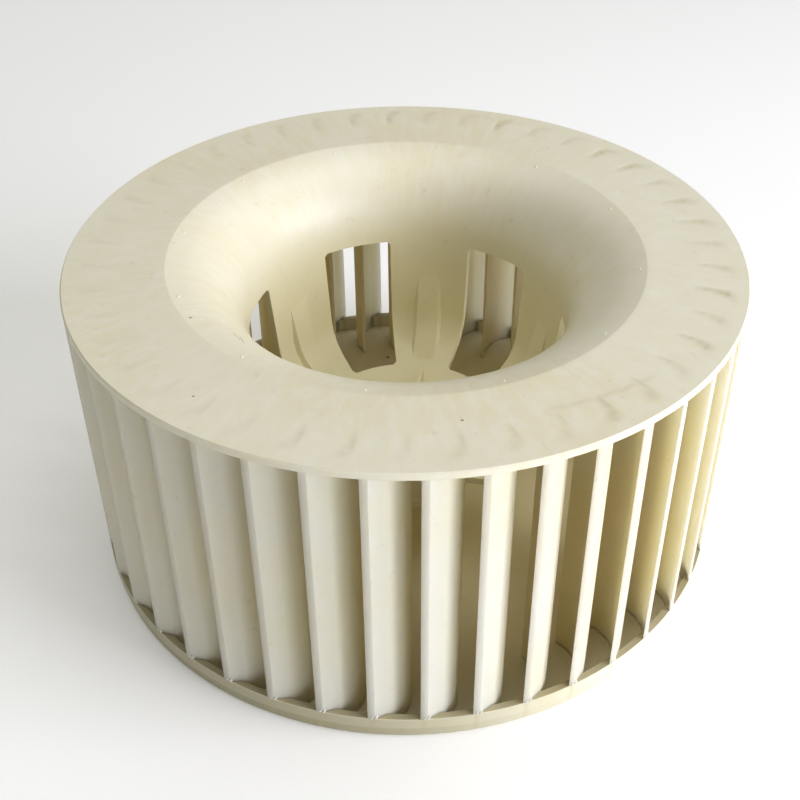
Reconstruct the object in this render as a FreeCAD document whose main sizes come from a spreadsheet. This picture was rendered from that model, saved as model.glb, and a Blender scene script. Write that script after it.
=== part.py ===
"""Centrifugal fan wheel: a moulded wheel with bell, cup and forward-curved blades, its closing disc and hub bush.

The wheel stands on its rim with the bell up. The origin is the centre of the rim's underside, +Z is the
wheel's axis, and +X runs through the middle of one web of the cup. The six webs lie every 60 degrees from
there, with the windows between them.
"""
import FreeCAD, Part
import math
import os
import Sketcher

doc = FreeCAD.newDocument("FanWheel")

SIZES = [
    # the whole wheel
    ("wheel_radius", 125.0, "outer radius of the plate, the blade tips and the rim"),
    ("wheel_height", 123.0, "foot of the rim to the top of the plate"),
    ("plate_thick", 2.5, "ring-shaped top plate"),
    ("plate_edge", 0.5, "bevel of the plate's upper outer edge"),
    # bell and cup
    ("bell_radius", 88.75, "where the bell starts to fall away from the plate, at a faint crease"),
    ("bell_slope", 8.0, "slope in degrees with which it starts"),
    ("bell_lip", 0.6, "straight stretch between the crease and the bell's round"),
    ("bell_flats", 7, "straight steps that the bell's round is turned in"),
    ("cup_radius", 56.9, "inner radius of the cup where wall and floor would meet without their round"),
    ("cup_depth", 73.7, "top of the plate down to that place"),
    ("wall_lean", 5.5, "draft of the cup wall in degrees"),
    ("floor_slope", 31.5, "fall of the cup floor towards the hub in degrees"),
    ("cup_round", 18.0, "inside round between cup wall and cup floor"),
    ("cup_flats", 3, "straight steps that this round is turned in"),
    ("under_flats", 3, "straight steps of the rounds on the hidden underside"),
    ("wall_thick", 2.6, "cup wall, measured level"),
    ("floor_thick", 3.0, "cup floor, measured upright"),
    # windows
    ("window_count", 6, "windows, one between each pair of webs"),
    ("window_angle", 28.0, "width of a window in degrees"),
    ("window_depth", 33.1, "top of the plate down to the top edge of a window"),
    ("window_foot_radius", 40.8, "radius of a window's lower edge, on the cup floor"),
    ("window_corner", 1.3, "bevel across the corners of a window"),
    # ridges and ribs on the webs
    ("ridge_half_width", 6.8, "half the width of a ridge where it leaves its web"),
    ("ridge_crest", 4.6, "half the width of its flat crest"),
    ("ridge_rise", 2.2, "how far a ridge stands proud of its web"),
    ("ridge_root", 1.0, "how deep a ridge starts inside its web"),
    ("ridge_length", 25.0, "height over which a ridge fades out up its web"),
    ("ridge_foot_radius", 45.5, "radius where a ridge runs out on the cup floor"),
    ("rib_thick", 1.6, "ribs on the cup floor"),
    ("rib_depth", 84.4, "top of the plate down to the ribs' level top"),
    # hub
    ("hub_radius", 13.5, "hub boss"),
    ("hub_depth", 83.0, "top of the plate down to the top of the hub boss"),
    ("spigot_radius", 11.5, "lower end of the hub boss, inside the disc's hole"),
    # blades
    ("blade_count", 43, "blades"),
    ("blade_inner_radius", 101.3, "inner edges of the blades"),
    ("blade_sweep", 5.66, "angle in degrees about the axis from a blade's tip to its inner edge"),
    ("blade_bow", 6.05, "how far its hollow side bows out from a straight line"),
    ("blade_back_bow", 6.65, "the same for its back, so that it is thickest half way along"),
    ("blade_tip", 2.6, "width of a blade's tip face"),
    ("blade_root", 1.2, "width of its inner edge"),
    ("blade_flats", 5, "straight steps that each side of a blade is drawn in"),
    # closing disc
    ("rim_height", 9.9, "rim of the disc"),
    ("rim_wall", 2.5, "wall of the rim"),
    ("rim_step_height", 5.2, "where the rim's outside starts to draw in"),
    ("rim_draw", 0.8, "how far it draws in at the foot"),
    ("rim_edge", 0.5, "bevel of the rim's foot"),
    ("foot_width", 5.0, "ring under the rim that the wheel stands on"),
    ("disc_level", 3.6, "top of the disc above the rim's foot"),
    ("disc_thick", 2.6, "disc"),
    ("seat_gap", 0.15, "clearance of the blades and the spigot in the disc"),
    # bush and shaft
    ("bush_radius", 8.0, "metal bush"),
    ("bush_proud", 0.5, "how far the bush stands out of the hub at each end"),
    ("bush_collar", 10.0, "hexagonal collar that keys the bush in the hub, over its corners"),
    ("collar_height", 8.0, "height of that collar"),
    ("bore_radius", 5.0, "shaft bore"),
]

sheet = doc.addObject("Spreadsheet::Sheet", "Sizes")
for row, (alias, value, meaning) in enumerate(SIZES, start=1):
    sheet.set("A%d" % row, meaning)
    sheet.set("B%d" % row, str(value))
    sheet.setAlias("B%d" % row, alias)
doc.recompute()


class Size:
    """A number together with the formula that binds it to the sheet; arithmetic keeps the two in step."""

    def __init__(self, value, formula):
        self.value = value
        self.formula = formula

    @staticmethod
    def of(other):
        if isinstance(other, Size):
            return other
        return Size(float(other), repr(float(other)))

    def __add__(self, other):
        other = Size.of(other)
        return Size(self.value + other.value, "(%s + %s)" % (self.formula, other.formula))

    def __sub__(self, other):
        other = Size.of(other)
        return Size(self.value - other.value, "(%s - %s)" % (self.formula, other.formula))

    def __mul__(self, other):
        other = Size.of(other)
        return Size(self.value * other.value, "(%s * %s)" % (self.formula, other.formula))

    def __truediv__(self, other):
        other = Size.of(other)
        return Size(self.value / other.value, "(%s / %s)" % (self.formula, other.formula))


def size(alias):
    return Size(float(sheet.get(alias)), "Sizes." + alias)


def whole(alias):
    return int(sheet.get(alias))


def sine(angle):
    return Size(math.sin(math.radians(angle.value)), "sin(%s)" % angle.formula)


def cosine(angle):
    return Size(math.cos(math.radians(angle.value)), "cos(%s)" % angle.formula)


def tangent(angle):
    return Size(math.tan(math.radians(angle.value)), "tan(%s)" % angle.formula)


def hypotenuse(across, up):
    return Size(math.hypot(across.value, up.value), "sqrt((%s)^2 + (%s)^2)" % (across.formula, up.formula))


ZERO = Size.of(0)
ONE = Size.of(1)
QUARTER_TURN = Size.of(90)

# Sketch parts that every sketch has: its origin and its two axes.
ORIGIN = (-1, 1)
LEVEL_AXIS = -1
UPRIGHT_AXIS = -2
START, END, CENTRE = range(1, 4)


def new_body(label):
    body = doc.addObject("PartDesign::Body", label)
    body.Label = label
    return body


def origin_feature(body, role):
    return next(item for item in body.Origin.OriginFeatures if item.Role == role)


def new_sketch(body, name, plane, level=None, azimuth=0):
    """A sketch on one of the body's own planes, or at a level over it, turned about the wheel's axis."""
    sketch = body.newObject("Sketcher::SketchObject", name)
    sketch.AttachmentSupport = [(origin_feature(body, plane), "")]
    sketch.MapMode = "FlatFace"
    turned = FreeCAD.Rotation(point(0, 1) if plane == "XZ_Plane" else FreeCAD.Vector(0, 0, 1), azimuth)
    height = 0 if level is None else level.value
    sketch.AttachmentOffset = FreeCAD.Placement(FreeCAD.Vector(0, 0, height), turned)
    if level is not None:
        sketch.setExpression(".AttachmentOffset.Base.z", level.formula)
    doc.recompute()
    return sketch


def measure(sketch, kind, *parts):
    """Add a dimension whose last argument is a Size, bound to the sheet."""
    length = parts[-1]
    index = sketch.addConstraint(Sketcher.Constraint(kind, *parts[:-1], length.value))
    sketch.setExpression("Constraints[%d]" % index, length.formula)


def relate(sketch, kind, *parts):
    sketch.addConstraint(Sketcher.Constraint(kind, *parts))


def place_point(sketch, geometry, end, across, up):
    """Hold a point at its two coordinates, on an axis where a coordinate is nothing."""
    if across is ZERO:
        relate(sketch, "PointOnObject", geometry, end, UPRIGHT_AXIS)
    else:
        measure(sketch, "DistanceX", *ORIGIN, geometry, end, across)
    if up is ZERO:
        relate(sketch, "PointOnObject", geometry, end, LEVEL_AXIS)
    else:
        measure(sketch, "DistanceY", *ORIGIN, geometry, end, up)


def point(across, up):
    return FreeCAD.Vector(across, up, 0)


def draw_path(sketch, corners, closed=True):
    """Draw straight lines from corner to corner, each corner given as (across, up)."""
    spots = [point(across.value, up.value) for across, up in corners]
    count = len(corners) if closed else len(corners) - 1
    lines = []
    for i in range(count):
        following = spots[(i + 1) % len(spots)]
        lines.append(sketch.addGeometry(Part.LineSegment(spots[i], following), False))
    for i, line in enumerate(lines):
        if i > 0 or closed:
            relate(sketch, "Coincident", lines[i - 1], END, line, START)
        place_point(sketch, line, START, *corners[i])
    if not closed:
        place_point(sketch, lines[-1], END, *corners[-1])
    doc.recompute()
    return sketch


def along_round(centre, radius, first, last, flats):
    """Corners on a round about a centre, from a first to a last angle, with straight steps between them."""
    corners = []
    for step in range(flats + 1):
        angle = first + (last - first) * (step / flats)
        corners.append((centre[0] + radius * cosine(angle), centre[1] + radius * sine(angle)))
    return corners


def turn(body, name, sketch, kind="PartDesign::Revolution", angle=None):
    """Turn a sketch about the wheel's axis: all the way, or by an angle shared between both sides."""
    feature = body.newObject(kind, name)
    feature.Profile = sketch
    feature.ReferenceAxis = (origin_feature(body, "Z_Axis"), [""])
    if angle is None:
        feature.Angle = 360.0
    else:
        feature.Midplane = True
        feature.setExpression("Angle", angle.formula)
    doc.recompute()
    return feature


def cut_ring(body, name, inner, outer, low, high):
    """Cut a ring of rectangular section all the way round."""
    sketch = new_sketch(body, name + "_section", "XZ_Plane")
    draw_path(sketch, [(inner, low), (outer, low), (outer, high), (inner, high)])
    return turn(body, name, sketch, kind="PartDesign::Groove")


def raise_pad(body, name, sketch, length, kind="PartDesign::Pad", midplane=False, reverse=False):
    feature = body.newObject(kind, name)
    feature.Profile = sketch
    feature.Midplane = midplane
    feature.Reversed = reverse
    feature.setExpression("Length", length.formula)
    doc.recompute()
    return feature


def pattern(body, name, originals, count):
    """Repeat features evenly round the wheel's axis."""
    feature = body.newObject("PartDesign::PolarPattern", name)
    feature.Originals = originals
    feature.Axis = (origin_feature(body, "Z_Axis"), [""])
    feature.Angle = 360.0
    feature.setExpression("Occurrences", count.formula)
    body.Tip = feature
    doc.recompute()
    return feature


# Levels, radii and slopes that more than one piece or feature uses.
wheel_radius = size("wheel_radius")
plate_top = size("wheel_height")
plate_under = plate_top - size("plate_thick")
clear_radius = wheel_radius + size("wall_thick")
cup_radius = size("cup_radius")
cup_foot = plate_top - size("cup_depth")
wall_rate = tangent(size("wall_lean"))
floor_rate = tangent(size("floor_slope"))
hub_radius = size("hub_radius")
hub_top = plate_top - size("hub_depth")
hub_floor = cup_foot - (cup_radius - hub_radius) * floor_rate
rib_top = plate_top - size("rib_depth")
disc_top = size("disc_level")
disc_under = disc_top - size("disc_thick")
rim_inside = wheel_radius - size("rim_wall")
spigot_top = disc_top + size("seat_gap")
bush_foot = disc_under - size("bush_proud")
bush_length = hub_top + size("bush_proud") - bush_foot
collar_foot = (hub_top + disc_under - size("collar_height")) / 2


def cup_corner(level_offset, upright_offset):
    """Where wall and floor would meet on a line parallel to the inside, offset outwards and downwards."""
    out = (level_offset - wall_rate * upright_offset) / (ONE - wall_rate * floor_rate)
    return cup_radius + out, cup_foot + floor_rate * out - upright_offset


def cup_corner_round(corner, radius, flats):
    """The round between wall and floor, from the wall down, where the two would meet at the corner."""
    lean = size("wall_lean")
    slope = size("floor_slope")
    reach = radius * tangent((QUARTER_TURN - lean - slope) / 2)
    across = corner[0] + reach * sine(lean) - radius * cosine(lean)
    up = corner[1] + reach * cosine(lean) + radius * sine(lean)
    return along_round((across, up), radius, ZERO - lean, slope - QUARTER_TURN, flats)


def bell_radius_of_round():
    """Radius that brings the round from the end of the bell's lip on to the cup wall."""
    slope = size("bell_slope")
    fall = tangent(slope)
    rise = size("cup_depth") - fall * size("bell_radius")
    across = (cup_radius + wall_rate * rise) / (ONE - wall_rate * fall)
    reach = (size("bell_radius") - across) / cosine(slope) - size("bell_lip")
    return reach * tangent((QUARTER_TURN + size("wall_lean") + slope) / 2)


def bell_round(flats):
    """The bell's round, from its lip down to the cup wall."""
    slope = size("bell_slope")
    lip = size("bell_lip")
    radius = bell_radius_of_round()
    across = size("bell_radius") - lip * cosine(slope) + radius * sine(slope)
    up = plate_top - lip * sine(slope) - radius * cosine(slope)
    return along_round((across, up), radius, QUARTER_TURN + slope, QUARTER_TURN * 2 - size("wall_lean"), flats)


def under_bell_round(flats):
    """The same round one plate thickness further down, from under the plate to the back of the cup wall."""
    lean = size("wall_lean")
    radius = bell_radius_of_round() - size("plate_thick")
    corner = cup_radius + wall_rate * (plate_under - cup_foot) + size("wall_thick")
    across = corner + radius * tangent((QUARTER_TURN - lean) / 2)
    return along_round((across, plate_under - radius), radius, QUARTER_TURN, QUARTER_TURN * 2 - lean, flats)


def draw_hexagon(sketch, corner_radius):
    """A hexagon with a corner on the level axis."""
    spots = []
    for step in range(6):
        turned = math.radians(60 * step)
        spots.append(point(corner_radius.value * math.cos(turned), corner_radius.value * math.sin(turned)))
    guide = sketch.addGeometry(Part.Circle(point(0, 0), FreeCAD.Vector(0, 0, 1), corner_radius.value), True)
    relate(sketch, "Coincident", guide, CENTRE, *ORIGIN)
    measure(sketch, "Radius", guide, corner_radius)
    sides = [sketch.addGeometry(Part.LineSegment(spots[i], spots[(i + 1) % 6]), False) for i in range(6)]
    for i, side in enumerate(sides):
        relate(sketch, "Coincident", sides[i - 1], END, side, START)
        relate(sketch, "PointOnObject", side, START, guide)
        if i > 0:
            relate(sketch, "Equal", sides[0], side)
    relate(sketch, "PointOnObject", sides[0], START, LEVEL_AXIS)
    doc.recompute()


def draw_circle(sketch, radius):
    circle = sketch.addGeometry(Part.Circle(point(0, 0), FreeCAD.Vector(0, 0, 1), radius.value), False)
    relate(sketch, "Coincident", circle, CENTRE, *ORIGIN)
    measure(sketch, "Radius", circle, radius)
    doc.recompute()


def bush_form(body, kind):
    """The bush's outside, raised for the bush itself and sunk in the hub that is moulded round it."""
    sunk = kind == "PartDesign::Pocket"
    barrel = new_sketch(body, "bush_circle", "XY_Plane", level=bush_foot)
    draw_circle(barrel, size("bush_radius"))
    raise_pad(body, "bush_barrel", barrel, bush_length, kind=kind, reverse=sunk)
    collar = new_sketch(body, "collar_hexagon", "XY_Plane", level=collar_foot)
    draw_hexagon(collar, size("bush_collar"))
    return raise_pad(body, "bush_collar", collar, size("collar_height"), kind=kind, reverse=sunk)


def build_ridge(body, azimuth):
    """Ridge with a flat crest and sloping flanks down the middle of the web at an azimuth in degrees.

    It is carried along a line inside the web: out of the wall as it comes down, round the cup's corner, and back
    into the floor.
    """
    rise = size("ridge_rise")
    depth = size("ridge_root")
    lean = cosine(size("wall_lean"))
    slope = cosine(size("floor_slope"))
    top = cup_foot + size("ridge_length")
    top_across = cup_radius + wall_rate * size("ridge_length") + (rise + depth) / lean
    foot_across = size("ridge_foot_radius")
    foot = cup_foot - (cup_radius - foot_across) * floor_rate - (rise + depth) / slope
    turning = cup_corner_round(cup_corner(depth / lean, depth / slope), size("cup_round") + depth,
                               whole("cup_flats"))
    spine = new_sketch(body, "ridge_spine", "XZ_Plane", azimuth=azimuth)
    draw_path(spine, [(top_across, top), *turning, (foot_across, foot)], closed=False)
    section = new_sketch(body, "ridge_section", "XY_Plane", level=top, azimuth=azimuth)
    crest = top_across - rise - depth
    draw_path(section, [
        (crest, size("ridge_crest")),
        (crest, ZERO - size("ridge_crest")),
        (top_across, ZERO - size("ridge_half_width")),
        (top_across, size("ridge_half_width")),
    ])
    pipe = body.newObject("PartDesign::AdditivePipe", "ridge")
    pipe.Profile = section
    pipe.Spine = (spine, [])
    pipe.Transition = "Right corner"
    doc.recompute()


def build_rib(body):
    """Rib with a level top, from inside the hub boss to where the cup floor has risen to its height."""
    reach = cup_radius - (cup_foot - rib_top) / floor_rate
    sketch = new_sketch(body, "rib_side", "XZ_Plane")
    draw_path(sketch, [
        (size("bush_radius"), hub_floor),
        (reach, hub_floor),
        (reach, rib_top),
        (size("bush_radius"), rib_top),
    ])
    return raise_pad(body, "rib", sketch, size("rib_thick"), midplane=True)


def build_window(body):
    """One window: it runs down the cup wall, over the corner and some way along the cup floor."""
    sketch = new_sketch(body, "window_section", "YZ_Plane")
    window_top = plate_top - size("window_depth")
    draw_path(sketch, [
        (size("window_foot_radius"), hub_floor),
        (size("bell_radius"), hub_floor),
        (size("bell_radius"), window_top),
        (size("window_foot_radius"), window_top),
    ])
    return turn(body, "window", sketch, kind="PartDesign::Groove", angle=size("window_angle"))


def bevel_windows(body, base):
    """Bevel the four corners of every window: the short edges that run through the wall and the floor."""
    window_top = plate_top.value - size("window_depth").value
    foot_radius = size("window_foot_radius").value
    corners = []
    for number, edge in enumerate(base.Shape.Edges, start=1):
        ends = [vertex.Point for vertex in edge.Vertexes]
        radii = [math.hypot(end.x, end.y) for end in ends]
        level = all(abs(end.z - window_top) < 1e-4 for end in ends)
        upright = all(abs(radius - foot_radius) < 1e-4 for radius in radii)
        through_wall = level and abs(radii[0] - radii[-1]) > 1
        through_floor = upright and abs(ends[0].z - ends[-1].z) > 1
        if through_wall or through_floor:
            corners.append("Edge%d" % number)
    bevel = body.newObject("PartDesign::Chamfer", "window_corners")
    bevel.Base = (base, corners)
    bevel.setExpression("Size", size("window_corner").formula)
    body.Tip = bevel
    doc.recompute()


def blade_side(tip, inner, bow, flats):
    """Corners of one side of a blade, from the tip inwards.

    Its bow is a parabola: four times the share of the way along, times the share still to go, times its height.
    """
    run = inner[0] - tip[0]
    climb = inner[1] - tip[1]
    length = hypotenuse(run, climb)
    corners = []
    for step in range(flats + 1):
        share = step / flats
        out = bow / length * (4 * share * (1 - share))
        corners.append((tip[0] + run * share + climb * out, tip[1] + climb * share - run * out))
    return corners


def on_circle(radius, angle):
    return radius * cosine(angle), radius * sine(angle)


def build_blade(body):
    """One forward-curved blade: a hollow side and a rounder back, thickest half way along.

    The tip's leading corner lies on +X. From there the blade leans inwards and the way that the wheel turns.
    """
    inner_radius = size("blade_inner_radius")
    sweep = size("blade_sweep")
    degrees = Size.of(180 / math.pi)
    tip_turn = size("blade_tip") / wheel_radius * degrees
    root_turn = size("blade_root") / inner_radius * degrees
    flats = whole("blade_flats")
    hollow_side = blade_side((wheel_radius, ZERO), on_circle(inner_radius, sweep), size("blade_bow"), flats)
    back_side = blade_side(on_circle(wheel_radius, tip_turn), on_circle(inner_radius, sweep + root_turn),
                           size("blade_back_bow"), flats)
    sketch = new_sketch(body, "blade_section", "XY_Plane", level=disc_top)
    draw_path(sketch, hollow_side + back_side[::-1])
    return raise_pad(body, "blade", sketch, plate_under - disc_top)


def build_wheel():
    """The main moulding.

    A solid is turned to the upper face of plate, bell and cup, ridges and ribs are raised on it, and the space
    under it is then cut away to leave the walls. Windows, blades and hub follow.
    """
    body = new_body("fan_wheel")
    upper = new_sketch(body, "upper_face", "XZ_Plane")
    draw_path(upper, [
        (ZERO, spigot_top),
        (wheel_radius, spigot_top),
        (wheel_radius, plate_top - size("plate_edge")),
        (wheel_radius - size("plate_edge"), plate_top),
        (size("bell_radius"), plate_top),
        *bell_round(whole("bell_flats")),
        *cup_corner_round((cup_radius, cup_foot), size("cup_round"), whole("cup_flats")),
        (hub_radius, hub_floor),
        (hub_radius, hub_top),
        (ZERO, hub_top),
    ])
    turn(body, "upper_form", upper)
    web_count = whole("window_count")
    for web in range(web_count):
        build_ridge(body, 360 / web_count * web)
    pattern(body, "ribs", [build_rib(body)], size("window_count"))
    under = new_sketch(body, "under_face", "XZ_Plane")
    under_corner = cup_corner(size("wall_thick"), size("floor_thick"))
    draw_path(under, [
        (hub_radius, ZERO),
        (clear_radius, ZERO),
        (clear_radius, plate_under),
        *under_bell_round(whole("under_flats")),
        *cup_corner_round(under_corner, size("cup_round") + size("wall_thick"), whole("under_flats")),
        (hub_radius, hub_floor - size("floor_thick")),
    ])
    turn(body, "under_form", under, kind="PartDesign::Groove")
    windows = pattern(body, "windows", [build_window(body)], size("window_count"))
    bevel_windows(body, windows)
    pattern(body, "blades", [build_blade(body)], size("blade_count"))
    cut_ring(body, "blade_steps", rim_inside - size("seat_gap"), clear_radius, ZERO, size("rim_height"))
    spigot = new_sketch(body, "spigot_circle", "XY_Plane", level=disc_under)
    draw_circle(spigot, size("spigot_radius"))
    raise_pad(body, "spigot", spigot, spigot_top - disc_under)
    body.Tip = bush_form(body, "PartDesign::Pocket")
    doc.recompute()
    return body


def build_disc():
    """The closing disc: its rim carries the blade tips, its top carries the blades, and its foot ring stands."""
    body = new_body("closing_disc")
    section = new_sketch(body, "disc_section", "XZ_Plane")
    hole_radius = size("spigot_radius") + size("seat_gap")
    draw_path(section, [
        (hole_radius, disc_under),
        (wheel_radius - size("foot_width"), disc_under),
        (wheel_radius - size("foot_width"), ZERO),
        (wheel_radius - size("rim_draw") - size("rim_edge"), ZERO),
        (wheel_radius - size("rim_draw"), size("rim_edge")),
        (wheel_radius, size("rim_step_height")),
        (wheel_radius, size("rim_height")),
        (rim_inside, size("rim_height")),
        (rim_inside, disc_top),
        (hole_radius, disc_top),
    ])
    body.Tip = turn(body, "disc_form", section)
    doc.recompute()
    return body


def build_bush():
    """The metal bush with the bore for the shaft."""
    body = new_body("hub_bush")
    bush_form(body, "PartDesign::Pad")
    circle = new_sketch(body, "bore_circle", "XY_Plane", level=bush_foot)
    draw_circle(circle, size("bore_radius"))
    body.Tip = raise_pad(body, "bore", circle, bush_length, kind="PartDesign::Pocket", reverse=True)
    doc.recompute()
    return body


bodies = [build_wheel(), build_disc(), build_bush()]
doc.recompute()

for item in doc.Objects:
    if "Invalid" in item.State or "Error" in item.State:
        raise RuntimeError("%s did not compute" % item.Name)

os.makedirs("parts", exist_ok=True)
for body in bodies:
    shape = body.Shape
    if shape.isNull() or not shape.isValid() or len(shape.Solids) != 1:
        raise RuntimeError("%s is not one sound solid" % body.Label)
    shape.exportStep("parts/%s.step" % body.Label)
    print("%s %.1f cm3" % (body.Label, shape.Volume / 1000))
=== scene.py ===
"""The looks of a moulded blower wheel: aged cream plastic, a steel hub bush and the small marks of moulding.

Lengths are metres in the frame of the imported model. Z is up and the wheel turns about it.
"""
import math

import bmesh
import bpy
import numpy as np
from mathutils import Matrix, Vector
from mathutils.bvhtree import BVHTree


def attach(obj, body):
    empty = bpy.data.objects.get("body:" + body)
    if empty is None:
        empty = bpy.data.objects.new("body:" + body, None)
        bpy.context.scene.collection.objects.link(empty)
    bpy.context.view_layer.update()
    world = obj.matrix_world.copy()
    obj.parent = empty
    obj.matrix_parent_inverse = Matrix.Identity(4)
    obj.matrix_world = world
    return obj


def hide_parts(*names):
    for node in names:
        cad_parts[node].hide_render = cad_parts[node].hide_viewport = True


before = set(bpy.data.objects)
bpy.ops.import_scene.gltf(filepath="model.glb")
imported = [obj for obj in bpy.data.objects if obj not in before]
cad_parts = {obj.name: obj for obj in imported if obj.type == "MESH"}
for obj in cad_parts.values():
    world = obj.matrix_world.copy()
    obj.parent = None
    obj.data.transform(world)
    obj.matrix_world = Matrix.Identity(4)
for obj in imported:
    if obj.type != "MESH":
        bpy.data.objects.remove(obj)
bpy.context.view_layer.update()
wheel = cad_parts["fan_wheel"]
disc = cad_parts["closing_disc"]
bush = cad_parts["hub_bush"]

MM = 0.001
FULL_TURN = 2 * math.pi
BLADES = 43
BLADE_PITCH = FULL_TURN / BLADES

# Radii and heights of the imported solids. The plate's two edges lie either side of the ring between them.
WHEEL_RADIUS = 125 * MM
BLADE_INNER_RADIUS = 101 * MM
RING_BETWEEN_EDGES = 100 * MM
PLATE_TOP = 123 * MM
PLATE_UNDER = 120.4 * MM
RIM_TOP = 9.9 * MM
RIM_STEP = 5.2 * MM

# The plate's new grid: its first and last radius, and its points across and around.
GRID_RADII = (91.2 * MM, 123.2 * MM)
GRID_ACROSS = 22
GRID_AROUND = BLADES * 14

# The arc that a blade's middle line follows, for the blade at azimuth 0.
BLADE_ARC_X = 109.3 * MM
BLADE_ARC_Y = -3.6 * MM
BLADE_ARC_RADIUS = 16.5 * MM
BLADE_LEAD = 0.02

CAMERA_TURN = math.radians(-22)
CAMERA_DOWN = math.radians(36.89)
CAMERA_ROLL = math.radians(0.54)
CAMERA_PLACE = (0.072, -3.047, 1.837)
FOCAL_PIXELS = 1193
FRAME_PIXELS = 800
SENSOR_WIDTH = 36


class Value:
    """What a node hands on. Arithmetic on it adds the Math nodes to its material."""

    def __init__(self, finish, socket):
        self.finish = finish
        self.socket = socket

    def math(self, operation, *others):
        return self.finish.node("Math", {"operation": operation}, dict(enumerate((self, *others))))

    def __add__(self, other):
        return self.math("ADD", other)

    def __sub__(self, other):
        return self.math("SUBTRACT", other)

    def __mul__(self, other):
        return self.math("MULTIPLY", other)

    def __truediv__(self, other):
        return self.math("DIVIDE", other)

    def __pow__(self, other):
        return self.math("POWER", other)

    def __rsub__(self, other):
        return self.finish.node("Math", {"operation": "SUBTRACT"}, {0: other, 1: self})

    __radd__ = __add__
    __rmul__ = __mul__


SOCKETS = {
    "ior": "IOR",
    "metallic": "Metallic",
    "lit": "Emission Strength",
    "glow_through": "Subsurface Weight",
    "glow_reach": "Subsurface Radius",
    "glow_scale": "Subsurface Scale",
}


class Finish:
    """One procedural material on Object coordinates, with a Principled shader."""

    def __init__(self, name, **constants):
        self.material = bpy.data.materials.new(name)
        self.material.use_nodes = True
        self.tree = self.material.node_tree
        self.tree.nodes.clear()
        self.shader = self.tree.nodes.new("ShaderNodeBsdfPrincipled")
        output = self.tree.nodes.new("ShaderNodeOutputMaterial")
        self.tree.links.new(self.shader.outputs[0], output.inputs[0])
        for socket, number in constants.items():
            self.shader.inputs[SOCKETS[socket]].default_value = number
        self.place = self.node("TexCoord", out="Object")
        self.x, self.y, self.z = (self.node("SeparateXYZ", inputs={0: self.place}, out=axis) for axis in range(3))
        self.radius = (self.x * self.x + self.y * self.y) ** 0.5
        self.azimuth = self.y.math("ARCTAN2", self.x)

    def node(self, kind, settings=None, inputs=None, out=0):
        """Any node: its settings first, then the numbers or links of its sockets."""
        new = self.tree.nodes.new("ShaderNode" + kind)
        for setting, choice in (settings or {}).items():
            setattr(new, setting, choice)
        for socket, source in (inputs or {}).items():
            if isinstance(source, Value):
                self.tree.links.new(source.socket, new.inputs[socket])
            else:
                new.inputs[socket].default_value = source
        return Value(self, new.outputs[out])

    def feed(self, **values):
        """Values for the shader's sockets, each named with an underscore for a space."""
        for socket, value in values.items():
            self.tree.links.new(value.socket, self.shader.inputs[socket.replace("_", " ")])

    def step(self, value, low, high):
        """0 below low, 1 above high and smooth between; falling where low is above high."""
        if low > high:
            return 1 - self.step(value, high, low)
        return self.node("MapRange", {"interpolation_type": "SMOOTHSTEP"}, {"Value": value, 1: low, 2: high})

    def band(self, value, low, high, fade):
        """1 between low and high, and 0 a fade beyond them."""
        return self.step(value, low - fade, low + fade) * self.step(value, high + fade, high - fade)

    def vector(self, *parts):
        """A vector from three values or numbers."""
        return self.node("CombineXYZ", inputs=dict(enumerate(parts)))

    def between(self, operation, first, second, out=0):
        """Vector maths on two vectors."""
        return self.node("VectorMath", {"operation": operation}, {0: first, 1: second}, out)

    def noise(self, scale, place=None, detail=2.0, roughness=0.5, twist=0.0):
        """Soft noise from 0 to 1, with as many grains to the metre as its scale."""
        return self.node("TexNoise", inputs={"Vector": place or self.place, "Scale": scale, "Detail": detail,
                                             "Roughness": roughness, "Distortion": twist})

    def mix(self, share, first, second):
        """The first colour, with a share of the second."""
        return self.node("Mix", {"data_type": "RGBA"}, {0: share, 6: first, 7: second}, out=2)

    def near(self, spot, reach, ragged):
        """1 at a spot and 0 at its reach; the ragged value frays its edge."""
        away = self.between("DISTANCE", self.place, spot, out="Value")
        return self.step(away / reach + ragged, 1.0, 0.45)

    def scratch(self, start, end, width):
        """1 along a straight line from start to end and 0 beside it."""
        run = Vector(end) - Vector(start)
        offset = self.between("SUBTRACT", self.place, start)
        along = self.between("DOT_PRODUCT", offset, run / run.length_squared, out="Value")
        share = self.node("Clamp", inputs={"Value": along})
        on_line = self.node("VectorMath", {"operation": "SCALE"}, {0: run, "Scale": share})
        away = self.between("DISTANCE", offset, on_line, out="Value")
        return self.step(away, width, width * 0.3)

    def bump(self, height_in_mm):
        """The normal of a surface that stands this many millimetres high."""
        return self.node("Bump", inputs={"Height": height_in_mm, "Distance": MM, "Strength": 1.0})


def colour(red, green, blue):
    """A colour given in screen values of 0 to 255, as the linear values that a shader takes."""
    parts = np.array([red, green, blue]) / 255
    linear = np.where(parts <= 0.04045, parts / 12.92, ((parts + 0.055) / 1.055) ** 2.4)
    return (*linear.tolist(), 1.0)


CREAM = colour(236, 231, 205)
CREAM_WARM = colour(233, 225, 193)
CREAM_PALE = colour(241, 238, 221)
CREAM_DEEP_SHADE = colour(229, 219, 171)
# Blade tones: the cream made warmer, painting the warm shade that light takes inside the thin blades.
BLADE_CREAM = colour(238, 228, 199)
BLADE_WARM = colour(237, 224, 186)
BLADE_DEEP_SHADE = colour(226, 203, 148)
CREAM_GREEN_SHADE = colour(138, 128, 78)
CREAM_SHADE = colour(186, 173, 130)
OLIVE_LEDGE_SHADE = colour(146, 136, 96)
GRIME = colour(92, 82, 58)

# Each palette: two clouded tones, a paler one for patches, and a darker tone painted as shade deep inside.
THICK_PALETTE = (CREAM, CREAM_WARM, CREAM_PALE, CREAM_DEEP_SHADE)
BLADE_SHADE_PALETTE = (BLADE_CREAM, BLADE_WARM, CREAM, BLADE_DEEP_SHADE)

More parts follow.
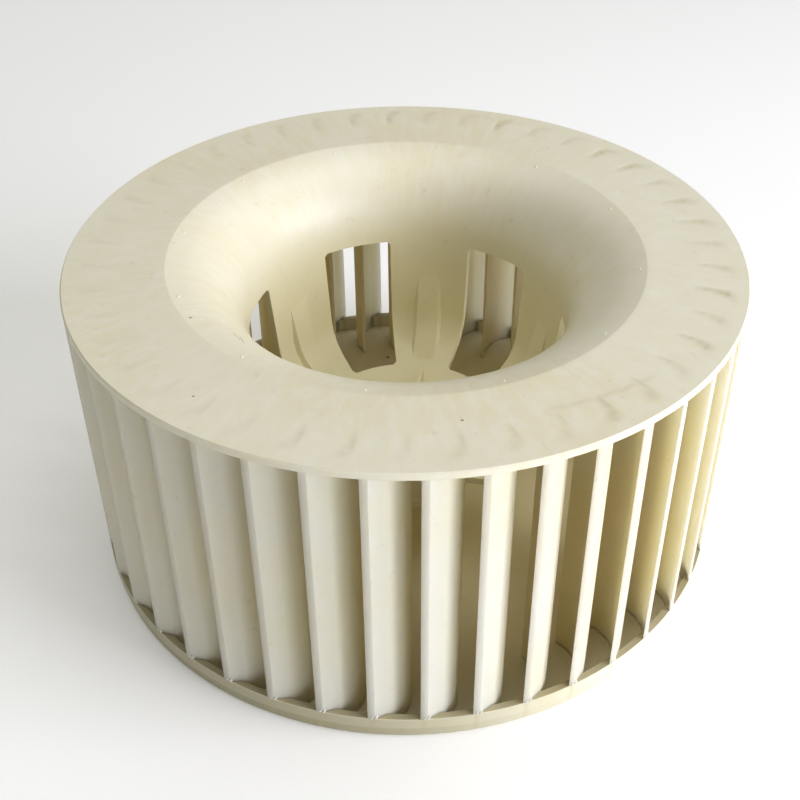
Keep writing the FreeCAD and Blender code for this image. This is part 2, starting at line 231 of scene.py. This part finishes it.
# A place and a reach for each speck, on the plate and in the gaps.
PLATE_SPECKS = [
    ((-84.6 * MM, -15.1 * MM, PLATE_TOP - 0.6 * MM), 0.65 * MM),
    ((-93.4 * MM, -58.9 * MM, PLATE_TOP), 0.5 * MM),
    ((-20.0 * MM, -99.9 * MM, PLATE_TOP), 0.6 * MM),
]
INNER_SPECKS = [
    ((24.5 * MM, 92.0 * MM, 3.7 * MM), 1.2 * MM),
    ((24.0 * MM, -16.1 * MM, 31.0 * MM), 0.9 * MM),
]

# The two ends of each scratch in the bell.
SCRATCHES = [
    ((-72.0 * MM, -23.0 * MM, 118.2 * MM), (-71.0 * MM, -29.0 * MM, 118.95 * MM)),
    ((-70.2 * MM, -25.5 * MM, 117.5 * MM), (-70.6 * MM, -31.5 * MM, 119.3 * MM)),
]


def plate_marks(finish, tone):
    """Pale streaks that flowed from the gates, painted shade over the sinks above the blades with a faint darker
    streak, and scratches.
    """
    polar = finish.vector(finish.azimuth * 9.0, finish.radius * 26, finish.z * 10)
    flow = finish.noise(3.2, place=polar, detail=3, roughness=0.62, twist=0.5)
    upper = finish.step(finish.z, PLATE_TOP - 30 * MM, PLATE_TOP - 12 * MM)
    tone = finish.mix(finish.step(flow, 0.38, 0.7) * upper * 0.4, tone, CREAM_PALE)
    # Painted shade over the sinks, with a faint real streak of the mould in the same attribute.
    sink_shade_and_streak = finish.node("Attribute", {"attribute_name": "sink_shade_and_streak"}, out="Fac")
    tone = finish.mix(sink_shade_and_streak * 0.8, tone, CREAM_SHADE)
    for start, end in SCRATCHES:
        tone = finish.mix(finish.scratch(start, end, 0.35 * MM) * 0.45, tone, GRIME)
    return tone


def under_blades(finish):
    """1 on the rim right under each blade's tip, where thick plastic sank in a fine upright line; its darkening is
    painted shade.
    """
    line_width = 0.9 * MM
    tip_offset = 1.3 * MM / WHEEL_RADIUS / BLADE_PITCH
    pitches = (finish.azimuth + FULL_TURN) / BLADE_PITCH
    off_line = (pitches.math("FRACT") - tip_offset) * (BLADE_PITCH * WHEEL_RADIUS / line_width)
    return (off_line * off_line * -1).math("EXPONENT")


def rim_marks(finish, tone):
    """Painted shade on the rim's side away from the light, a little more below its step, on its ledge, and along the
    fine sink lines under the blades.
    """
    outside = finish.step(finish.radius, 118 * MM, 121 * MM)
    low_band = finish.band(finish.z, -1 * MM, RIM_STEP, 0.3 * MM) * outside
    # Painted shade: the rim's outer face darker on the side away from the light, a little more below its step.
    shaded_side = finish.step((finish.azimuth + math.radians(157)).math("COSINE"), 0.0, 0.95)
    upright = finish.step(finish.z, RIM_TOP, RIM_TOP - 0.2 * MM) * outside
    tone = finish.mix((low_band * 0.16 + upright * 0.62) * shaded_side, tone, CREAM_GREEN_SHADE)
    # Painted shade on the rim's top ledge between the blades.
    ledge = finish.step(finish.z, RIM_TOP - 0.12 * MM, RIM_TOP - 0.04 * MM) * outside
    inside_edge = finish.step(finish.radius, WHEEL_RADIUS, WHEEL_RADIUS - 0.3 * MM)
    tone = finish.mix(ledge * inside_edge * 0.75, tone, OLIVE_LEDGE_SHADE)
    # Painted shade of the sink lines under the blades.
    sink_line_shade = under_blades(finish) * finish.band(finish.z, 0.0, RIM_TOP, 0.6 * MM) * outside
    return finish.mix(sink_line_shade * 0.3, tone, CREAM_SHADE)


def speck_marks(finish, tone, specks):
    """Dark specks with frayed edges."""
    ragged = (finish.noise(1800, detail=0) - 0.5) * 0.9
    marks = finish.near(*specks[0], ragged)
    for spot, reach in specks[1:]:
        marks = marks.math("MAXIMUM", finish.near(spot, reach, ragged))
    return finish.mix(marks * 0.8, tone, GRIME)


def cream_plastic(name, palette, marks=None, specks=(), **glow):
    """Aged cream plastic: clouds of tone, painted shade deeper down inside, rubbed places, dust and a faint ripple of
    the mould.
    """
    finish = Finish(name, ior=1.5, **glow)
    clouds = finish.noise(14, detail=2, twist=0.4)
    patches = finish.noise(55, detail=3, roughness=0.6, twist=1.2)
    tone = finish.mix(finish.step(clouds, 0.35, 0.68), *palette[:2])
    tone = finish.mix(finish.step(patches, 0.45, 0.75) * 0.35, tone, palette[2])
    # Painted shade: the palette's last tone, lower down and deep between the blades.
    low = finish.step(finish.z, PLATE_TOP - 12 * MM, PLATE_TOP - 48 * MM)
    inner_shade = low * finish.step(finish.radius, WHEEL_RADIUS - 4 * MM, BLADE_INNER_RADIUS)
    tone = finish.mix(inner_shade * 0.75, tone, palette[3])
    if marks:
        tone = marks(finish, tone)
    rubbed = finish.step(finish.noise(210, detail=2, roughness=0.7), 0.62, 0.8)
    cells = finish.node("TexVoronoi", inputs={"Vector": finish.place, "Scale": 70.0, "Randomness": 1.0},
                        out="Distance")
    flecks = finish.step(cells, 0.028, 0.012) * finish.step(patches, 0.58, 0.64)
    tone = finish.mix((rubbed * 0.1).math("MAXIMUM", flecks * 0.5), tone, GRIME)
    if specks:
        tone = speck_marks(finish, tone, specks)
    ripple_in_mm = finish.noise(42, detail=1) * 0.22 + finish.noise(900, detail=0) * 0.006
    finish.feed(Base_Color=tone, Roughness=0.38 + clouds * 0.1 + rubbed * 0.12, Normal=finish.bump(ripple_in_mm))
    return finish.material


def turned_steel(name):
    """Steel turned on a lathe: fine rings round the bush, a few of them deeper, with a thin film of oil."""
    finish = Finish(name, ior=2.4, metallic=1.0)
    rings = finish.noise(1.0, place=finish.vector(finish.radius * 2600, finish.z * 5200, 0.0), detail=3)
    film = finish.noise(120, detail=3)
    tone = finish.mix(finish.step(rings, 0.35, 0.7), colour(176, 175, 170), colour(207, 206, 200))
    tone = finish.mix(finish.step(film, 0.55, 0.75) * 0.4, tone, colour(150, 140, 118))
    finish.feed(Base_Color=tone, Roughness=0.24 + rings * 0.12 + film * 0.08, Normal=finish.bump(rings * 0.01))
    return finish.material


def welded_plastic(name):
    """Plastic melted and set again, at the beads and gates: paler, glossier and without the wheel's stains."""
    finish = Finish(name, ior=1.5)
    drift = finish.noise(700, detail=2)
    tone = finish.mix(drift, CREAM_PALE, colour(238, 234, 218))
    finish.feed(Base_Color=tone, Roughness=0.26 + drift * 0.12, Normal=finish.bump(drift * 0.03))
    return finish.material


def new_piece(name, points, faces, slot, *materials, replaced=()):
    """A named piece from an array of points and a list of faces, with smooth faces, which rides on the wheel."""
    mesh = bpy.data.meshes.new(name)
    mesh.from_pydata(points.tolist(), [], faces)
    mesh.polygons.foreach_set("use_smooth", np.ones(len(mesh.polygons), bool))
    for material in materials:
        mesh.materials.append(material)
    piece = bpy.data.objects.new(name, mesh)
    bpy.context.scene.collection.objects.link(piece)
    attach(piece, "root")
    for node in replaced:
        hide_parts(node.name)
    return piece


def round_the_axis(radius, azimuth, height):
    """Points at a radius, an azimuth and a height, one of them or more an array."""
    return np.stack(np.broadcast_arrays(radius * np.cos(azimuth), radius * np.sin(azimuth), height), axis=-1)


def joined_triangles(node):
    """Points and triangles of a solid, with its loose triangles joined at their corners."""
    shape = bmesh.new()
    shape.from_mesh(node.data)
    bmesh.ops.remove_doubles(shape, verts=shape.verts, dist=0.01 * MM)
    bmesh.ops.triangulate(shape, faces=shape.faces)
    shape.verts.index_update()
    points = np.array([corner.co for corner in shape.verts])
    triangles = np.array([[corner.index for corner in face.verts] for face in shape.faces])
    shape.free()
    return points, triangles


def sink_depth(radius, azimuth):
    """How deep the plate sinks over the blades, from 0 to 1.

    The azimuth is folded to one blade pitch. Away from the blade's middle line, an arc about its own centre, the
    depth falls off as a bell curve. It fades in and out along the radius, differs from blade to blade, is ragged
    along the blade, and is deeper on the right, the side where the light shows the sinks most. The same depth sets
    the plate's painted shade over the sinks.
    """
    pitches = (azimuth + FULL_TURN + BLADE_LEAD) / BLADE_PITCH
    turn = pitches % 1 * BLADE_PITCH - BLADE_LEAD
    arc = np.hypot(radius * np.cos(turn) - BLADE_ARC_X, radius * np.sin(turn) - BLADE_ARC_Y)
    across_blade = np.exp(-(((arc - BLADE_ARC_RADIUS) / (2.1 * MM)) ** 2))
    fade = np.clip((radius - 104 * MM) / (6 * MM), 0, 1) * np.clip((121.5 * MM - radius) / (5 * MM), 0, 1)
    of_blade = np.random.default_rng(11).uniform(0.4, 1.0, BLADES)[pitches.astype(int) % BLADES]
    # Stronger on the right, where the light shows the sinks most; this sets both their depth and their painted shade.
    stronger_where_lit = 0.62 + 0.38 * np.cos(azimuth + math.radians(5))
    ragged = 0.7 + 0.3 * np.sin(azimuth * 61 + radius * 900) * np.sin(azimuth * 23 - radius * 1400 + 1)
    return across_blade * fade * fade * (3 - 2 * fade) * of_blade * stronger_where_lit * ragged


def smear(radius, azimuth):
    """1 along a faint streak in the plate, and 0 away from it.

    The streak's radius grows evenly with the share of its arc that has been passed. Beside that line it falls off
    as a bell curve, and it fades in and out over an eighth of its arc.
    """
    share = (azimuth + math.radians(87.6)) / math.radians(23.1)
    off_line = (radius - 104.4 * MM - share * (7.2 * MM)) / (0.9 * MM)
    return np.exp(-(off_line ** 2)) * np.clip(share * 8, 0, 1) * np.clip((1 - share) * 8, 0, 1)


def zip_rings(points, inner, outer):
    """Triangles that join two rings of points.

    Both rings are put in order of azimuth. Each step along a ring makes a triangle with the last point that it has
    passed on the other ring.
    """
    inner, outer = (ring[np.argsort(np.arctan2(points[ring, 1], points[ring, 0]))] for ring in (inner, outer))
    inner_turn, outer_turn = (np.arctan2(points[ring, 1], points[ring, 0]) for ring in (inner, outer))
    passed_outer = np.searchsorted(outer_turn, inner_turn, side="left") - 1
    passed_inner = np.searchsorted(inner_turn, outer_turn, side="right") - 1
    return np.concatenate([np.stack([inner, np.roll(inner, 1), outer[passed_outer]], axis=1),
                           np.stack([np.roll(outer, 1), outer, inner[passed_inner]], axis=1)])


def sunken_plate(points, triangles):
    """The wheel's shape with its flat top taken out and laid again as a fine polar grid that sinks over the blades.

    A point of the grid is its radius round the axis, and its height is the plate's less the depth of the sinks and
    a slow ripple of the mould. The grid meets the bell's lip and the plate's edge in zipped rings. The third array
    says how much each point is darkened: painted shade over the sinks, and a faint real streak at a third of its
    strength.
    """
    on_top = points[:, 2] > PLATE_TOP - 0.01 * MM
    flat = on_top[triangles].all(axis=1)
    rings = np.unique(triangles[flat])
    ring_radius = np.hypot(*points[rings, :2].T)
    lip, edge = rings[ring_radius < RING_BETWEEN_EDGES], rings[ring_radius > RING_BETWEEN_EDGES]

    first_azimuth = 0.001
    azimuths = np.linspace(-math.pi, math.pi, GRID_AROUND, endpoint=False) + first_azimuth
    radius, azimuth = np.meshgrid(np.linspace(*GRID_RADII, GRID_ACROSS), azimuths, indexing="ij")
    off_rings = np.sin(np.linspace(0, math.pi, GRID_ACROSS))[:, None] ** 0.5
    sinks = sink_depth(radius, azimuth)
    ripple = np.sin(azimuth * 5 + radius * 60) * np.sin(azimuth * 11 - radius * 190 + 2)
    height = PLATE_TOP - (sinks * 0.32 + (ripple + 1) * 0.03) * MM * off_rings
    grid = round_the_axis(radius, azimuth, height).reshape(-1, 3)

    start = len(points)
    row, step = np.meshgrid(np.arange(GRID_ACROSS - 1) * GRID_AROUND, np.arange(GRID_AROUND), indexing="ij")
    following = (step + 1) % GRID_AROUND
    here, out, out_next, next_one = (
        corner.ravel() + start
        for corner in (row + step, row + GRID_AROUND + step, row + GRID_AROUND + following, row + following)
    )
    points = np.concatenate([points, grid])
    first_row = np.arange(GRID_AROUND) + start
    last_row = first_row + (GRID_ACROSS - 1) * GRID_AROUND
    shade = np.concatenate([np.zeros(start), np.maximum(sinks, smear(radius, azimuth) * 0.3).ravel()])
    triangles = np.concatenate([
        triangles[~flat],
        np.stack([here, out, out_next], axis=1),
        np.stack([here, out_next, next_one], axis=1),
        zip_rings(points, lip, first_row),
        zip_rings(points, last_row, edge),
    ])
    return points, triangles, shade


def smooth_moulding(node, name, slot, *materials, shape=None):
    """A solid's shape as one joined mesh, smooth over its rounds and sharp at its edges, which stands for the solid.

    Of three materials the second goes on the plate and the upper bell, and the third on the blades.
    """
    points, triangles, *shade = shape or joined_triangles(node)
    piece = new_piece(name, points, triangles.tolist(), slot, *materials, replaced=[node])
    piece.data.set_sharp_from_angle(angle=math.radians(28))
    if shade:
        piece.data.attributes.new("sink_shade_and_streak", "FLOAT", "POINT").data.foreach_set("value", shade[0])
    if len(materials) > 1:
        x, y, z = points[triangles].mean(axis=1).T
        radius = np.hypot(x, y)
        on_blade = (radius > BLADE_INNER_RADIUS) & (z > RIM_STEP) & (z < PLATE_UNDER)
        in_bell = (z > PLATE_TOP - 34 * MM) & (radius < BLADE_INNER_RADIUS - 2 * MM)
        piece.data.polygons.foreach_set("material_index", np.where(on_blade, 2, (z > PLATE_UNDER) | in_bell))
    piece.modifiers.new("even_shading", "WEIGHTED_NORMAL").keep_sharp = True
    return piece


def pips(centres, outward, lengthwise, half_sizes, rings=5, sides=10):
    """Points and faces of closed pips, one for each centre.

    A pip is an ellipsoid: the cosine of the latitude times its half length and half width, and the sine of the
    latitude times its half height along the outward direction.
    """
    half_length, half_width, half_height = half_sizes
    latitude = np.linspace(-math.pi / 2, math.pi / 2, rings + 1)[1:-1, None]
    turn = np.linspace(0, FULL_TURN, sides, endpoint=False)[None, :]
    long_way = np.append(np.cos(latitude) * np.cos(turn) * half_length, [0, 0])
    wide_way = np.append(np.cos(latitude) * np.sin(turn) * half_width, [0, 0])
    out_way = np.append((np.sin(latitude) + 0 * turn) * half_height, [-half_height, half_height])
    offsets = np.stack([long_way, wide_way, out_way])
    directions = np.stack([lengthwise, np.cross(outward, lengthwise), outward])
    points = centres[:, None, :] + np.einsum("dp,dcx->cpx", offsets, directions)

    south, north = len(long_way) - 2, len(long_way) - 1
    side = np.arange(sides)
    following = (side + 1) % sides
    top = (rings - 2) * sides
    low, high = (np.broadcast_to(pole, sides) for pole in (south, north))
    rows = (np.arange(rings - 2) * sides)[:, None]
    wall = np.stack([rows + side, rows + following, rows + sides + following, rows + sides + side], axis=-1)
    faces = []
    shifts = (np.arange(len(centres)) * len(long_way))[:, None, None]
    for group in (wall.reshape(-1, 4), np.stack([low, following, side], axis=-1),
                  np.stack([high, top + side, top + following], axis=-1)):
        faces += (group + shifts).reshape(-1, group.shape[1]).tolist()
    return points.reshape(-1, 3), faces


def weld_beads():
    """Twin slanted beads at each blade's foot, where the rim was welded on."""
    first = np.arange(BLADES) * BLADE_PITCH
    azimuth = np.concatenate([first + 1.5 * MM / WHEEL_RADIUS, first + 2.85 * MM / WHEEL_RADIUS])
    centres = round_the_axis(WHEEL_RADIUS - 0.45 * MM, azimuth, RIM_TOP + 0.35 * MM)
    outward = round_the_axis(1.0, azimuth, 0.0)
    around = round_the_axis(1.0, azimuth + math.pi / 2, 0.0)
    slant = math.radians(62)
    lengthwise = around * math.cos(slant) + np.array([0, 0, math.sin(slant)])
    return pips(centres, outward, lengthwise, (1.25 * MM, 0.5 * MM, 0.72 * MM))


def surface_under(piece, above):
    """Points and normals where lines straight down from above meet a piece."""
    graph = bpy.context.evaluated_depsgraph_get()
    tree = BVHTree.FromObject(piece, graph)
    hits = [tree.ray_cast(Vector(point), Vector((0, 0, -1))) for point in above.tolist()]
    return np.array([hit[0] for hit in hits]), np.array([hit[1] for hit in hits])


def gate_marks(piece):
    """Twelve small nubs on the bell, where the plastic came in."""
    gates = 12
    azimuth = math.radians(0.3) + np.arange(gates) * FULL_TURN / gates
    points, normals = surface_under(piece, round_the_axis(85.6 * MM, azimuth, PLATE_TOP + 5 * MM))
    lengthwise = np.cross(normals, round_the_axis(1.0, azimuth, 0.0))
    lengthwise /= np.linalg.norm(lengthwise, axis=1, keepdims=True)
    return pips(points, normals, lengthwise, (0.6 * MM, 0.55 * MM, 0.22 * MM))


cream = cream_plastic("cream_plastic", THICK_PALETTE, marks=rim_marks, specks=INNER_SPECKS)
cream_plate = cream_plastic("cream_plate", THICK_PALETTE, marks=plate_marks, specks=PLATE_SPECKS)
glowing = cream_plastic("cream_blades", BLADE_SHADE_PALETTE,
                        glow_through=0.85, glow_reach=(1.0, 0.9, 0.7), glow_scale=10 * MM)
welded = welded_plastic("welded_plastic")
blade_wheel = smooth_moulding(wheel, "blade_wheel", "cream_plastic", cream, cream_plate, glowing,
                              shape=sunken_plate(*joined_triangles(wheel)))
smooth_moulding(disc, "closing_plate", "disc_plastic", cream)
smooth_moulding(bush, "shaft_bush", "bush_steel", turned_steel("turned_steel"))
new_piece("weld_beads", *weld_beads(), "cream_plastic", welded)
new_piece("gate_marks", *gate_marks(blade_wheel), "cream_plastic", welded)


def studio_floor(half_width):
    """A wide pale table top, a hair below the wheel's foot."""
    finish = Finish("pale_floor", ior=1.45, lit=0.17)
    drift = finish.noise(3, detail=2)
    finish.feed(
        Base_Color=finish.mix(drift, (0.92, 0.92, 0.9, 1), (0.945, 0.945, 0.925, 1)),
        Emission_Color=finish.mix(drift, (0.98, 1.0, 1.0, 1), (0.97, 0.99, 0.99, 1)),
        Roughness=0.75 + drift * 0.1,
    )
    finish.material.cycles.emission_sampling = "NONE"
    corners = [(x * half_width, y * half_width, 0) for x, y in ((-1, -1), (1, -1), (1, 1), (-1, 1))]
    mesh = bpy.data.meshes.new("floor")
    mesh.from_pydata(corners, [], [(0, 1, 2, 3)])
    mesh.materials.append(finish.material)
    floor = bpy.data.objects.new("floor", mesh)
    floor.location.z = -0.2 * MM
    bpy.context.scene.collection.objects.link(floor)


def soft_light(name, right, back, up, size, power, tint):
    """A square light aimed at the wheel's middle.

    Its place is to the right of the camera's line of sight, behind the wheel, and up, in metres.
    """
    cos, sin = math.cos(CAMERA_TURN), math.sin(CAMERA_TURN)
    place = Vector((right * cos - back * sin, right * sin + back * cos, up))
    lamp = bpy.data.lights.new(name, "AREA")
    lamp.shape = "RECTANGLE"
    lamp.size = lamp.size_y = size
    lamp.energy = power
    lamp.color = tint
    light = bpy.data.objects.new(name, lamp)
    light.location = place
    light.rotation_euler = (Vector((0, 0, 0.08)) - place).to_track_quat("-Z", "Y").to_euler()
    bpy.context.scene.collection.objects.link(light)


def soft_room(tint, strength):
    """The even light from the walls of the room."""
    world = bpy.data.worlds.new("soft_room")
    world.use_nodes = True
    background = world.node_tree.nodes["Background"]
    background.inputs["Color"].default_value = (*tint, 1.0)
    background.inputs["Strength"].default_value = strength
    bpy.context.scene.world = world


def photo_camera():
    """The camera at the photograph's viewing angle.

    Its axes are tilted down, rolled about the line of sight and turned round the wheel. Its place is given in wheel
    radii from the middle of the plate.
    """
    right = Vector((1, 0, 0))
    forward = Vector((0, math.cos(CAMERA_DOWN), -math.sin(CAMERA_DOWN)))
    up = right.cross(forward)
    rolled_right = right * math.cos(CAMERA_ROLL) + up * math.sin(CAMERA_ROLL)
    rolled_up = up * math.cos(CAMERA_ROLL) - right * math.sin(CAMERA_ROLL)
    axes = Matrix((rolled_right, rolled_up, -forward)).transposed()
    spun = Matrix.Rotation(CAMERA_TURN, 3, "Z")
    place = spun @ (Vector(CAMERA_PLACE) * WHEEL_RADIUS) + Vector((0, 0, PLATE_TOP))
    data = bpy.data.cameras.new("camera")
    data.sensor_width = SENSOR_WIDTH
    data.lens = FOCAL_PIXELS / FRAME_PIXELS * SENSOR_WIDTH
    data.shift_x = data.shift_y = -30 / FRAME_PIXELS
    camera = bpy.data.objects.new("camera", data)
    camera.matrix_world = Matrix.Translation(place) @ (spun @ axes).to_4x4()
    bpy.context.scene.collection.objects.link(camera)
    bpy.context.scene.camera = camera


COOL_WHITE = (0.98, 0.99, 1.1)
WARM_WHITE = (1.0, 0.99, 0.95)
studio_floor(half_width=6.0)
soft_light("window_light", 1.4, -0.5, 0.6, size=1.0, power=24.5, tint=COOL_WHITE)
soft_light("ceiling_light", 0.0, 0.2, 2.0, size=2.0, power=20.8, tint=WARM_WHITE)
soft_light("low_light", 1.0, -1.0, 0.28, size=0.7, power=4.6, tint=COOL_WHITE)
soft_room(WARM_WHITE, strength=0.12)
bpy.context.scene.view_settings.view_transform = "Standard"
photo_camera()
